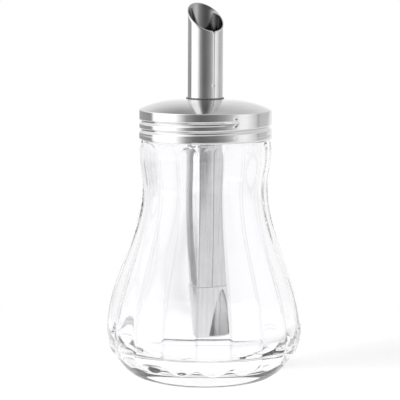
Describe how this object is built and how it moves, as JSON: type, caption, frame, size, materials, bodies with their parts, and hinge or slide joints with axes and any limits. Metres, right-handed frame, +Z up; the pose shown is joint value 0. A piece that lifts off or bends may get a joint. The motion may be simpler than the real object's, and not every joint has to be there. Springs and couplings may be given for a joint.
{
  "type": "sugar dispenser",
  "caption": "Ribbed glass sugar dispenser with a domed steel screw cap and a long pouring tube that ends in a windowed portion cup; a gravity flap closes the tube",
  "frame": {"origin": "middle of the foot, on the surface the jar stands on", "axes": "+Z up along the pouring tube; -Y towards the low lip of the mouth and the tube's seam; +X to the right of that, seen from the low lip"},
  "size_m": [0.0796, 0.0798, 0.15],
  "materials": {
    "clear_glass": "clear pressed glass, smooth",
    "seal_plastic": "soft white seal, matt",
    "polished_steel": "polished stainless sheet",
    "tube_steel": "bright rolled stainless tube, fine lines along it",
    "inner_steel": "plain stainless, satin",
    "pin_steel": "drawn stainless wire"
  },
  "bodies": {
    "jar": {"glass_jar": "clear_glass"},
    "seal": {"seal_ring": "seal_plastic"},
    "cap": {"cap_shell": "polished_steel", "spout_collar": "polished_steel", "retaining_ring": "inner_steel", "spout_tube": "tube_steel", "flap_carrier": "inner_steel", "flap_pin": "pin_steel", "portion_cup": "tube_steel"},
    "flap": {"flap": "inner_steel"}
  },
  "joints": [
    {"name": "cap_turn", "type": "hinge", "parent": "jar", "child": "seal", "pos_m": [0, 0, 0.1069], "axis": [0, 0, 1], "range_deg": [0, 721]},
    {"name": "cap_rise", "type": "slide", "parent": "seal", "child": "cap", "axis": [0, 0, 1], "range_m": [0, 0.0068]},
    {"name": "flap_swing", "type": "hinge", "parent": "cap", "child": "flap", "pos_m": [0, 0.002, 0.11887], "axis": [-1, 0, 0], "range_deg": [0, 75]}
  ],
  "couplings": [
    {"joint": "cap_turn", "follows": "cap_rise", "rad_per_m": 1848}
  ]
}
